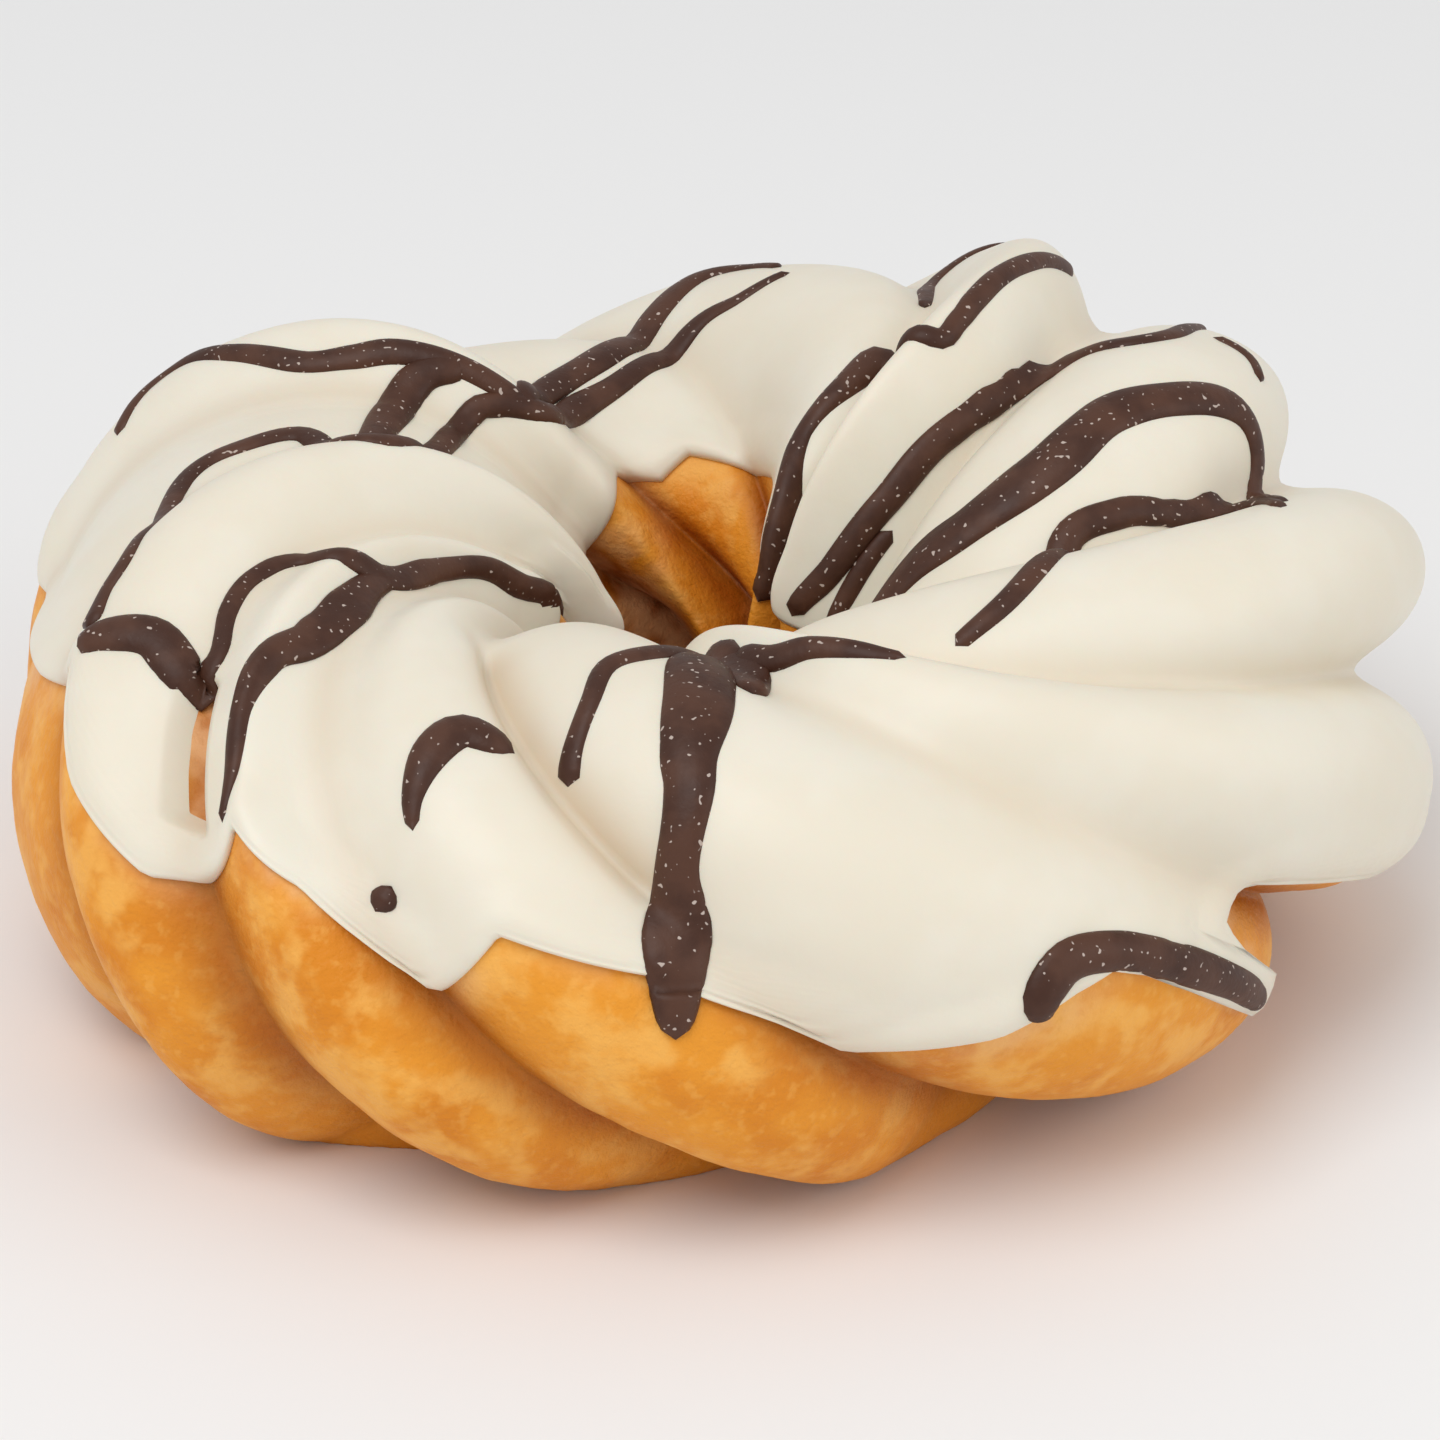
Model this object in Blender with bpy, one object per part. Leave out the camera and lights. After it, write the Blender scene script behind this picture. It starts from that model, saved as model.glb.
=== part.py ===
"""Iced choux ring with a chocolate drizzle.

A rope of choux paste, piped through a star nozzle and bent into a twisted ring,
is dipped in vanilla icing and striped with thin chocolate.
"""

import bmesh
import bpy
import numpy as np

MM = 0.001

# Ring and rope
RING_RADIUS = 28.9 * MM
LOBE_SHIFT = 12.6 * MM
LOBE_RADIUS = 8.8 * MM
ROPE_SQUASH = 0.93
HOLE_SQUEEZE = 0.10
REST_LEVEL = -17.7 * MM
HOLE_MIDDLE = (-1.93 * MM, -2.71 * MM)

# Twist: twelve ridges cross the rim, and the section shows six of them
RIDGES = 12
SECTION_LOBES = 6
RIDGE_STEP = 360.0 / RIDGES
TWIST = -SECTION_LOBES / RIDGES
SEAM = -105.0
SEAM_FADE = 45.0

# Each groove's ring angle at four places round the rope: below, rim, top, hole
GROOVE_PLACES = (-60.0, 0.0, 90.0, 180.0)
GROOVES = (
    (216, 210, 175, 147),
    (241, 232, 206, 168),
    (274, 252, 222, 195),
    (300, 280, 243, 213),
    (350, 321, 280, 246),
    (386, 360, 300, 275),
    (418, 394, 340, 300),
    (448, 423, 385, 338),
    (475, 453, 412, 376),
    (512, 482, 453, 413),
    (535, 508, 484, 431),
    (560, 533, 511, 457),
)
# How far each ridge stands out of the even rope, in per cent, on top and below
PROUD_TOP = (-10, 7, 0, -4, 4, 3, 1, -2, 10, 4, -14, 13)
PROUD_BELOW = (9, 7, 1, 3, 4, 1, -3, -2, 9, 3, -13, 7)
PROUD_BLEND = (30.0, -60.0)

# Slow changes round the ring: order, cosine part, sine part
RADIUS_WAVES = ((1, 0.03, 0.01), (2, -0.025, 0.0), (3, 0.025, -0.04))
ROPE_WAVES = ((1, 0.04, 0.035), (2, 0.075, 0.045), (3, -0.01, 0.045))
LIFT_WAVES = ((1, 1.2 * MM, 0.0), (2, 1.0 * MM, 0.3 * MM))
GROOVE_DEPTH_WAVES = ((1, 0.42, 0.0), (2, 0.13, 0.0), (3, 0.12, 0.0), (4, 0.05, 0.0))
BASE_GROOVE_LOSS = 0.6
BASE_MIDDLE = -90.0
BASE_HALF_WIDTH = 25.0
BASE_EASE = 1.5
# The grooves are deeper in the hole and low outside: by this share, from this rope angle on
HOLE_DEPTH = (0.35, 140.0, 40.0)
BELOW_DEPTH = (0.65, -15.0, 35.0)

# One ridge laps over the next: the groove, its rope angles and their fade, reach in ridges
FOLD_GROOVE = 3.5
FOLD_ANGLES = (24.0, 112.0, 16.0)
FOLD_REACH = 0.22
FOLD_SHARPNESS = 0.014
FOLD_HEIGHT = 1.0 * MM

# Icing: its edges run through these points, each a ring angle and a rope angle
ICING_EDGE = (
    (0, -26), (15, -22), (30, -14), (45, -20), (60, -6), (75, -12), (90, 0), (105, -8),
    (120, 6), (135, 0), (150, 14), (165, 8), (180, 15), (193, 23), (206, 40), (215, 25),
    (224, 16), (228, 18), (231, 33), (238, 26), (244, 17), (250, 9), (255, 25), (267, 18),
    (277, 5), (283, -5), (294, -2), (301, 5), (305, 2), (318, -20), (326, -24), (320, -10),
    (318, -3), (322, -1), (340, -20), (350, -26),
)
ICING_HOLE_EDGE = (
    (0, 170), (30, 165), (50, 152), (65, 142), (78, 137), (90, 133), (96, 140), (106, 137),
    (116, 150), (124, 162), (150, 166), (172, 167), (181, 151), (190, 150), (200, 167),
    (250, 165), (300, 168), (340, 172),
)
DOUGH_DIP = 1.3 * MM
ICING_GAP = 0.35 * MM
ICING_THICK = 1.35 * MM
ICING_EDGE_THICK = 0.55 * MM
ICING_EDGE_RUN = 9.0
GROOVE_FILL = 0.9 * MM
GROOVE_FILL_WIDTH = 0.13

# Drizzle: width, then ring angle and rope angle of the points along the stroke
DRIZZLE_HEIGHT = 0.75 * MM
DRIZZLE_SINK = 0.4 * MM
DRIZZLE_STEP = 3.3 * MM
DRIZZLE_EDGE_MARGIN = 5.0
DRIZZLE_TIP = 0.55
DRIZZLE_SHOULDER = (0.8, 0.6)
DRIZZLE = (
    (1.9, ((158, 38), (151, 50), (152, 64), (149, 82), (142, 95), (134, 111), (129, 119))),
    (1.9, ((204, 49), (196, 61), (180, 65), (173, 82), (181, 101), (160, 111), (139, 112),
           (121, 123))),
    (2.5, ((172, 99), (155, 97), (138, 102))),
    (2.5, ((130, 119), (116, 107), (103, 94), (94, 72), (88, 63), (80, 72))),
    (1.9, ((123, 123), (110, 113), (101, 105), (89, 87), (78, 81))),
    (1.8, ((208, 45), (211, 53), (217, 54), (216, 62), (210, 74), (211, 92), (214, 107),
           (202, 132), (180, 156))),
    (2.1, ((231, 36), (228, 47), (225, 60), (223, 78), (219, 95), (214, 107))),
    (2.5, ((246, 44), (245, 54), (246, 67), (251, 67))),
    (2.2, ((244.2, 25), (244.7, 30))),
    (1.7, ((258, 62), (259, 76), (262, 89), (273, 104))),
    (3.7, ((275, 111), (272, 92), (271, 75), (270, 55), (269, 40), (269, 26), (270, 14))),
    (1.9, ((277, 105), (286, 94), (293, 87), (300, 80))),
    (2.0, ((33, 161), (42, 146), (49, 130), (47, 112), (26, 110), (32, 97), (39, 80), (42, 68))),
    (1.8, ((2, 160), (5, 149), (9, 137), (14, 121), (23, 98), (20, 82), (22, 68), (26, 57))),
    (3.1, ((327, 148), (334, 136), (340, 121), (349, 106), (359, 91), (5, 74), (6, 58), (354, 56))),
    (1.9, ((307, 89), (322, 93), (338, 99), (347, 88), (354, 72), (351, 58))),
    (2.5, ((297, 2), (297, 8), (300, 12), (306, 7), (312, -5), (320, -19))),
)

# Mesh: columns follow the ridges, rows run round the rope from the seam
RIDGE_COLUMNS = (-0.5, -0.38, -0.23, -0.08, 0.08, 0.23, 0.38)
ROWS_BELOW = 8
ROWS_ICED = 12
ROWS_HOLE = 7
ROW_CROWDING = 0.06
INVERSE_ROUNDS = 8
CURVE_STEPS = 12
NORMAL_STEP = 0.5

DOUGH_COLOUR = (0.72, 0.30, 0.045, 1.0)
ICING_COLOUR = (0.80, 0.74, 0.62, 1.0)


def clear_scene():
    for item in list(bpy.data.objects):
        bpy.data.objects.remove(item, do_unlink=True)


def ease(t):
    """Smooth step from 0 to 1 with level ends."""
    t = np.clip(t, 0.0, 1.0)
    return t * t * (3.0 - 2.0 * t)


def waves(ring_angle, table):
    """Sum of a few slow cosine and sine waves round the ring."""
    u = np.radians(ring_angle)
    return sum(a * np.cos(order * u) + b * np.sin(order * u) for order, a, b in table)


def between_ridges(values, place):
    """Value of a per-ridge table at a place, eased from one ridge to the next."""
    low = np.floor(place).astype(int)
    share = ease(place - low)
    return values[low % RIDGES] * (1.0 - share) + values[(low + 1) % RIDGES] * share


def seam_window(rope_angle):
    """1 over the rope, easing to 0 at the seam, where the twist is even."""
    away = np.mod(rope_angle - SEAM, 360.0)
    return ease(np.minimum(away, 360.0 - away) / SEAM_FADE)


def groove_start():
    """Ring angle of the first groove at the rim if all grooves were even."""
    rim = np.array([groove[1] for groove in GROOVES], float)
    return np.mean(rim - RIDGE_STEP * np.arange(RIDGES))


def groove_offset(place, rope_angle):
    """How many ridge steps a groove lies away from the even twist.

    The four measured places are joined by a cubic along the rope angle.
    """
    knots = np.array(GROOVE_PLACES)
    index = np.arange(RIDGES)[:, None]
    even = groove_start() + RIDGE_STEP * index + TWIST * knots[None, :]
    table = (np.array(GROOVES, float) - even) / RIDGE_STEP
    v = np.clip(rope_angle, knots[0], knots[-1])
    total = 0.0
    for j, knot in enumerate(knots):
        weight = 1.0
        for other in np.delete(knots, j):
            weight = weight * (v - other) / (knot - other)
        total = total + between_ridges(table[:, j], place) * weight
    return total


def ring_angle_of(ridge_place, rope_angle):
    """Ring angle of a place counted in ridges: ridge k has its crest at k."""
    place = ridge_place - 0.5
    shift = seam_window(rope_angle) * groove_offset(place, rope_angle)
    return groove_start() + TWIST * rope_angle + RIDGE_STEP * (place + shift)


def ridge_place_of(ring_angle, rope_angle):
    """The inverse of ring_angle_of, found by repeating the shift until it settles."""
    even = (ring_angle - groove_start() - TWIST * rope_angle) / RIDGE_STEP
    place = even
    for _ in range(INVERSE_ROUNDS):
        place = even - seam_window(rope_angle) * groove_offset(place, rope_angle)
    return place + 0.5


def past_fold(ridge_place, rope_angle):
    """How many ridges a place lies past the fold, and 1 along the fold, eased to its ends."""
    past = (ridge_place - FOLD_GROOVE + RIDGES / 2) % RIDGES - RIDGES / 2
    low, high, fade = FOLD_ANGLES
    return past, ease((rope_angle - low) / fade) * ease((high - rope_angle) / fade)


def rope_radius(ridge_place, ring_angle, rope_angle):
    """Distance from the rope's middle line to its surface.

    The section is a union of round lobes: each lobe's far side is at
    shift * cos(d) + sqrt(radius^2 - (shift * sin(d))^2), d from its crest.
    At the fold a step lifts one side of the groove and sinks the other.
    """
    across = ridge_place - np.round(ridge_place)
    angle = across * 2.0 * np.pi / SECTION_LOBES
    side = LOBE_SHIFT * np.sin(angle)
    star = LOBE_SHIFT * np.cos(angle) + np.sqrt(LOBE_RADIUS ** 2 - side * side)
    past, along = past_fold(ridge_place, rope_angle)
    bell = np.exp(-((past / FOLD_REACH) ** 2)) * along
    star = star - FOLD_HEIGHT * np.tanh(past / FOLD_SHARPNESS) * bell
    crest = LOBE_SHIFT + LOBE_RADIUS
    base = ease(BASE_EASE * (1.0 - np.abs(rope_angle - BASE_MIDDLE) / BASE_HALF_WIDTH))
    more, start, run = HOLE_DEPTH
    deeper = more * ease((rope_angle - start) / run)
    more, start, run = BELOW_DEPTH
    deeper = deeper + more * ease((start - rope_angle) / run)
    depth = 1.0 + waves(ring_angle, GROOVE_DEPTH_WAVES) + deeper * seam_window(rope_angle)
    depth = depth * (1.0 - BASE_GROOVE_LOSS * base)
    top, below = PROUD_BLEND
    low = ease((top - rope_angle) / (top - below))
    proud = between_ridges(np.array(PROUD_TOP, float), ridge_place) * (1.0 - low)
    proud = proud + between_ridges(np.array(PROUD_BELOW, float), ridge_place) * low
    radius = (crest - depth * (crest - star)) * (1.0 + seam_window(rope_angle) * proud / 100.0)
    radius = radius * (1.0 + waves(ring_angle, ROPE_WAVES))
    inner = (0.5 - 0.5 * np.cos(np.radians(rope_angle))) ** 2
    return radius * (1.0 - HOLE_SQUEEZE * inner)


def surface_points(ridge_place, rope_angle, extra):
    """Points a given distance outside the rope's surface, as an array of x, y, z."""
    ring_angle = ring_angle_of(ridge_place, rope_angle)
    u = np.radians(ring_angle)
    v = np.radians(rope_angle)
    radius = rope_radius(ridge_place, ring_angle, rope_angle) + extra
    out = RING_RADIUS * (1.0 + waves(ring_angle, RADIUS_WAVES)) + radius * np.cos(v)
    height = ROPE_SQUASH * radius * np.sin(v) + waves(ring_angle, LIFT_WAVES)
    height = np.maximum(height, REST_LEVEL) - REST_LEVEL
    x = out * np.cos(u) + HOLE_MIDDLE[0]
    y = out * np.sin(u) + HOLE_MIDDLE[1]
    return np.stack([x, y, height], axis=-1)


def edge_angle(ridge_place, table):
    """Rope angle of an icing edge at a ridge place, joined round the ring.

    The icing ran down along the ridges, so the edge has one height at each place.
    """
    points = np.array(table, float)
    places = ridge_place_of(points[:, 0], points[:, 1])
    return np.interp(ridge_place, places, points[:, 1], period=RIDGES)


def icing_cover(rope_angle, outer, hole):
    """0 at the icing's edges, rising to 1 a short way in."""
    nearest = np.minimum(rope_angle - outer, hole - rope_angle)
    return ease(nearest / ICING_EDGE_RUN)


def icing_top(ridge_place, rope_angle, cover):
    """Height of the icing's outer face over the plain rope: fuller in grooves, not at the fold."""
    across = np.abs(ridge_place - np.round(ridge_place))
    past, along = past_fold(ridge_place, rope_angle)
    open_fold = along * np.exp(-((past / FOLD_REACH) ** 2))
    fill = GROOVE_FILL * np.exp(-(((0.5 - across) / GROOVE_FILL_WIDTH) ** 2)) * cover
    fill = fill * (1.0 - open_fold)
    edge = ICING_GAP + ICING_EDGE_THICK
    crown = ICING_GAP + ICING_THICK - DOUGH_DIP
    return edge * (1.0 - cover) + crown * cover + fill


def spread_rows(start, stop, count, with_edges):
    """Rows between two rope angles, closer together at icing edges."""
    t = np.linspace(0.0, 1.0, count + 1)[None, :]
    if with_edges:
        t = t - ROW_CROWDING * np.sin(2.0 * np.pi * t)
    return start[:, None] + (stop - start)[:, None] * t


def grid_layout():
    """Columns along the ridges, and the icing's two edges on every column."""
    columns = np.concatenate([ridge + np.array(RIDGE_COLUMNS) for ridge in range(RIDGES)])
    return columns, edge_angle(columns, ICING_EDGE), edge_angle(columns, ICING_HOLE_EDGE)


def quad_triangles(points, a, b, c, d):
    """Two triangles for each quad, split along its shorter diagonal."""
    flat = points.reshape(-1, 3)
    across = np.linalg.norm(flat[a] - flat[c], axis=-1)
    other = np.linalg.norm(flat[b] - flat[d], axis=-1)
    shorter = across <= other
    first = np.stack([a, b, np.where(shorter, c, d)], axis=-1).reshape(-1, 3)
    second = np.stack([np.where(shorter, a, b), c, d], axis=-1).reshape(-1, 3)
    return np.concatenate([first, second])


def new_object(name, points, triangles, material):
    mesh = bpy.data.meshes.new(name)
    mesh.from_pydata(points.reshape(-1, 3).tolist(), [], triangles.tolist())
    mesh.materials.append(material)
    mesh.validate()
    mesh.shade_smooth()
    made = bpy.data.objects.new(name, mesh)
    bpy.context.scene.collection.objects.link(made)
    return made


def plain_material(name, colour, roughness):
    material = bpy.data.materials.new(name)
    material.use_nodes = True
    shader = material.node_tree.nodes["Principled BSDF"]
    shader.inputs["Base Color"].default_value = colour
    shader.inputs["Roughness"].default_value = roughness
    shader.inputs["Metallic"].default_value = 0.0
    return material


def build_dough(columns, outer, hole):
    """The whole ring, set back a little wherever icing lies on it."""
    seam_start = np.full(len(columns), SEAM)
    rows = np.concatenate([
        spread_rows(seam_start, outer, ROWS_BELOW, False)[:, :-1],
        spread_rows(outer, hole, ROWS_ICED, True)[:, :-1],
        spread_rows(hole, seam_start + 360.0, ROWS_HOLE, False)[:, :-1],
    ], axis=1)
    places = np.broadcast_to(columns[:, None], rows.shape)
    cover = icing_cover(rows, outer[:, None], hole[:, None])
    points = surface_points(places, rows, -DOUGH_DIP * cover)

    count, height = rows.shape
    index = np.arange(count * height).reshape(count, height)
    turned = np.roll(index[:, :1], SECTION_LOBES * len(RIDGE_COLUMNS), axis=0)
    closed = np.concatenate([index, turned], axis=1)
    beside = np.roll(closed, -1, axis=0)
    triangles = quad_triangles(points, closed[:, :-1], beside[:, :-1], beside[:, 1:], closed[:, 1:])
    material = plain_material("fried choux", DOUGH_COLOUR, 0.45)
    return new_object("choux_ring", points, triangles, material)


def build_icing(columns, outer, hole):
    """A closed skin of icing over the upper rope, clear of the dough."""
    rows = spread_rows(outer, hole, ROWS_ICED, True)
    places = np.broadcast_to(columns[:, None], rows.shape)
    cover = icing_cover(rows, outer[:, None], hole[:, None])
    under = surface_points(places, rows, ICING_GAP - DOUGH_DIP * cover)
    over = surface_points(places, rows, icing_top(places, rows, cover))

    count, height = rows.shape
    top = np.arange(count * height).reshape(count, height)
    low = top + count * height
    top_next = np.roll(top, -1, axis=0)
    low_next = np.roll(low, -1, axis=0)
    points = np.concatenate([over, under])
    triangles = np.concatenate([
        quad_triangles(points, top[:, :-1], top_next[:, :-1], top_next[:, 1:], top[:, 1:]),
        quad_triangles(points, low[:, :-1], low_next[:, :-1], low_next[:, 1:], low[:, 1:])[:, ::-1],
        quad_triangles(points, top[:, :1], low[:, :1], low_next[:, :1], top_next[:, :1]),
        quad_triangles(points, top[:, -1:], top_next[:, -1:], low_next[:, -1:], low[:, -1:]),
    ])
    material = plain_material("vanilla icing", ICING_COLOUR, 0.35)
    return new_object("vanilla_icing", points, triangles, material)


def icing_surface(ring_angle, rope_angle):
    """Points on the icing's outer face by ring angle and rope angle."""
    place = ridge_place_of(ring_angle, rope_angle)
    outer = edge_angle(place, ICING_EDGE)
    hole = edge_angle(place, ICING_HOLE_EDGE)
    cover = icing_cover(rope_angle, outer, hole)
    return surface_points(place, rope_angle, icing_top(place, rope_angle, cover))


def stroke_path(waypoints):
    """Even steps along a smooth curve through the waypoints, kept on the icing."""
    knots = np.array(waypoints, float)
    knots[:, 0] = np.degrees(np.unwrap(np.radians(knots[:, 0])))
    padded = np.vstack([2 * knots[0] - knots[1], knots, 2 * knots[-1] - knots[-2]])
    fine = []
    for p0, p1, p2, p3 in zip(padded, padded[1:], padded[2:], padded[3:]):
        t = np.linspace(0.0, 1.0, CURVE_STEPS, endpoint=False)[:, None]
        fine.append(0.5 * (2 * p1 + (p2 - p0) * t + (2 * p0 - 5 * p1 + 4 * p2 - p3) * t ** 2
                           + (3 * p1 - p0 - 3 * p2 + p3) * t ** 3))
    path = np.vstack(fine + [knots[-1:]])
    places = ridge_place_of(path[:, 0], path[:, 1])
    lowest = edge_angle(places, ICING_EDGE) + DRIZZLE_EDGE_MARGIN
    highest = edge_angle(places, ICING_HOLE_EDGE) - DRIZZLE_EDGE_MARGIN
    path[:, 1] = np.clip(path[:, 1], lowest, highest)
    points = icing_surface(path[:, 0], path[:, 1])
    run = np.concatenate([[0.0], np.cumsum(np.linalg.norm(np.diff(points, axis=0), axis=1))])
    steps = max(2, int(round(run[-1] / DRIZZLE_STEP)))
    even = np.linspace(0.0, run[-1], steps + 1)
    return np.stack([np.interp(even, run, path[:, 0]), np.interp(even, run, path[:, 1])], axis=1)


def surface_normals(path):
    """Outward normals of the icing along a path."""
    u, v = path[:, 0], path[:, 1]
    along = icing_surface(u + NORMAL_STEP, v) - icing_surface(u - NORMAL_STEP, v)
    around = icing_surface(u, v + NORMAL_STEP) - icing_surface(u, v - NORMAL_STEP)
    normal = np.cross(along, around)
    return normal / np.linalg.norm(normal, axis=1, keepdims=True)


def build_stroke(number, width, waypoints, material):
    """One line of drizzle: a low rounded strip, sunk a little into the icing."""
    path = stroke_path(waypoints)
    centre = icing_surface(path[:, 0], path[:, 1])
    normal = surface_normals(path)
    ahead = np.gradient(centre, axis=0)
    side = np.cross(ahead, normal)
    side = side / np.linalg.norm(side, axis=1, keepdims=True)
    taper = np.ones(len(path))
    taper[[0, -1]] = DRIZZLE_TIP
    half = 0.5 * width * MM * taper
    shoulder, level = DRIZZLE_SHOULDER
    section = ((-1.0, -DRIZZLE_SINK), (-shoulder, level * DRIZZLE_HEIGHT), (0.0, DRIZZLE_HEIGHT),
               (shoulder, level * DRIZZLE_HEIGHT), (1.0, -DRIZZLE_SINK))
    rings = np.stack([centre + side * (half * across)[:, None] + normal * up
                      for across, up in section], axis=1)
    count, sides = rings.shape[:2]
    index = np.arange(count * sides).reshape(count, sides)
    beside = np.roll(index, -1, axis=1)
    walls = quad_triangles(rings, index[:-1], beside[:-1], beside[1:], index[1:])
    first = [[index[0, 0], index[0, k + 1], index[0, k]] for k in range(1, sides - 1)]
    last = [[index[-1, 0], index[-1, k], index[-1, k + 1]] for k in range(1, sides - 1)]
    triangles = np.concatenate([walls, first, last])
    return new_object(f"stroke_{number}", rings, triangles, material)


def face_outward(item):
    """Turn a closed mesh the right way out by the sign of its volume."""
    mesh = item.data
    points = np.array([vertex.co[:] for vertex in mesh.vertices])
    corners = np.array([polygon.vertices[:] for polygon in mesh.polygons])
    a, b, c = points[corners[:, 0]], points[corners[:, 1]], points[corners[:, 2]]
    if np.sum(a * np.cross(b, c)) < 0.0:
        mesh.flip_normals()


def apply_modifiers(item):
    """Replace an object's mesh by what its modifiers make of it."""
    depsgraph = bpy.context.evaluated_depsgraph_get()
    mesh = bpy.data.meshes.new_from_object(item.evaluated_get(depsgraph))
    item.modifiers.clear()
    item.data = mesh


def keep_largest_body(item):
    """Drop loose scraps and the walls of small sealed hollows."""
    work = bmesh.new()
    work.from_mesh(item.data)
    waiting = set(work.faces)
    bodies = []
    while waiting:
        body = [waiting.pop()]
        for face in body:
            for edge in face.edges:
                fresh = [other for other in edge.link_faces if other in waiting]
                waiting.difference_update(fresh)
                body.extend(fresh)
        bodies.append(body)
    bodies.sort(key=len)
    scraps = [face for body in bodies[:-1] for face in body]
    bmesh.ops.delete(work, geom=scraps, context="FACES")
    work.to_mesh(item.data)
    work.free()


def add_drizzle(icing):
    """Join all strokes to the icing in one union, then drop their objects."""
    material = icing.data.materials[0]
    strokes = bpy.data.collections.new("strokes")
    bpy.context.scene.collection.children.link(strokes)
    for number, (width, waypoints) in enumerate(DRIZZLE):
        stroke = build_stroke(number, width, waypoints, material)
        face_outward(stroke)
        bpy.context.scene.collection.objects.unlink(stroke)
        strokes.objects.link(stroke)
    union = icing.modifiers.new("union", "BOOLEAN")
    union.operation = "UNION"
    union.operand_type = "COLLECTION"
    union.collection = strokes
    union.solver = "MANIFOLD"
    apply_modifiers(icing)
    keep_largest_body(icing)
    for stroke in list(strokes.objects):
        bpy.data.objects.remove(stroke, do_unlink=True)
    bpy.data.collections.remove(strokes)


def main():
    clear_scene()
    columns, outer, hole = grid_layout()
    dough = build_dough(columns, outer, hole)
    icing = build_icing(columns, outer, hole)
    face_outward(dough)
    face_outward(icing)
    add_drizzle(icing)


main()
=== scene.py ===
"""Looks of an iced choux ring: fried dough, cream vanilla icing and a dark chocolate drizzle."""

import bpy
import numpy as np
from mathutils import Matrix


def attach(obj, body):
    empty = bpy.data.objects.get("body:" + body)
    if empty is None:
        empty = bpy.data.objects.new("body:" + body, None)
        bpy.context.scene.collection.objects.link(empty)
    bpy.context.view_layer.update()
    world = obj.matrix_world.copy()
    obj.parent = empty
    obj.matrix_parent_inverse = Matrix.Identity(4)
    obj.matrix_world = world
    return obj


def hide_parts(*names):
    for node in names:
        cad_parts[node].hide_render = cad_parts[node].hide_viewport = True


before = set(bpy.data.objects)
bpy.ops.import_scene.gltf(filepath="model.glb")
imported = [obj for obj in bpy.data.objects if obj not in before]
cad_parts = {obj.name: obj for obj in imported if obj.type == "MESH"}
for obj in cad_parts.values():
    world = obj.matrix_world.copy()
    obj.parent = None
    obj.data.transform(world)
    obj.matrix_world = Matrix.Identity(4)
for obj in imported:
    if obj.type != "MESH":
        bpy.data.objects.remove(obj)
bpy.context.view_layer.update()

# The fried choux ring. One rope of choux paste is piped through a star nozzle onto paper in a
# twisted ring and fried, so it has slanting ridges with sharp grooves between them. The crust is
# golden, a little rough and greasy, paler in patches, with painted shade down in the grooves,
# underneath and deep in the hole.

MM = 0.001
RING_RADIUS = 28.9 * MM
LOBE_SHIFT = 12.6 * MM
LOBE_RADIUS = 8.8 * MM
ROPE_SQUASH = 0.93
HOLE_SQUEEZE = 0.10
REST_LEVEL = -17.7 * MM
HOLE_MIDDLE = (-1.93 * MM, -2.71 * MM)

RIDGES = 12
SECTION_LOBES = 6
RIDGE_STEP = 360.0 / RIDGES
TWIST = -SECTION_LOBES / RIDGES
SEAM = -105.0
SEAM_FADE = 45.0

# Each groove's ring angle at four places round the rope: below, rim, top, hole
GROOVE_PLACES = (-60.0, 0.0, 90.0, 180.0)
GROOVES = (
    (216, 210, 175, 147),
    (241, 232, 206, 168),
    (274, 252, 222, 195),
    (300, 280, 243, 213),
    (350, 321, 280, 246),
    (386, 360, 300, 275),
    (418, 394, 340, 300),
    (448, 423, 385, 338),
    (475, 453, 412, 376),
    (512, 482, 453, 413),
    (535, 508, 484, 431),
    (560, 533, 511, 457),
)
# How far each ridge stands out of the even rope, in per cent, on top and below
PROUD_TOP = (-10, 7, 0, -4, 4, 3, 1, -2, 10, 4, -14, 13)
PROUD_BELOW = (9, 7, 1, 3, 4, 1, -3, -2, 9, 3, -13, 7)
PROUD_BLEND = (30.0, -60.0)

# Slow changes round the ring: order, cosine part, sine part
RADIUS_WAVES = ((1, 0.03, 0.01), (2, -0.025, 0.0), (3, 0.025, -0.04))
ROPE_WAVES = ((1, 0.04, 0.035), (2, 0.075, 0.045), (3, -0.01, 0.045))
LIFT_WAVES = ((1, 1.2 * MM, 0.0), (2, 1.0 * MM, 0.3 * MM))
GROOVE_DEPTH_WAVES = ((1, 0.42, 0.0), (2, 0.13, 0.0), (3, 0.12, 0.0), (4, 0.05, 0.0))
BASE_GROOVE_LOSS = 0.6
BASE_MIDDLE = -90.0
BASE_HALF_WIDTH = 25.0
BASE_EASE = 1.5
# The grooves are deeper in the hole and low outside: by this share, from this rope angle on
HOLE_DEPTH = (0.35, 140.0, 40.0)
BELOW_DEPTH = (0.65, -15.0, 35.0)
# One ridge laps over the next: the groove, its rope angles, their fade, reach in ridges, height
FOLD_GROOVE = 3.5
FOLD_ANGLES = (24.0, 112.0, 16.0)
FOLD_REACH = 0.22
FOLD_SHARPNESS = 0.014
FOLD_HEIGHT = 1.0 * MM

# Grid of the crust, and rounds after which the inverse of the twist has settled
RIDGE_COLUMNS = 34
DOUGH_ROWS = 232
SETTLING_ROUNDS = 8
# How far the crust is set back under the icing, and how soon in from the icing's edge
DOUGH_DIP = 1.3 * MM
DIP_START = 0.6 * MM
DIP_RUN = 3.0 * MM
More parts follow.
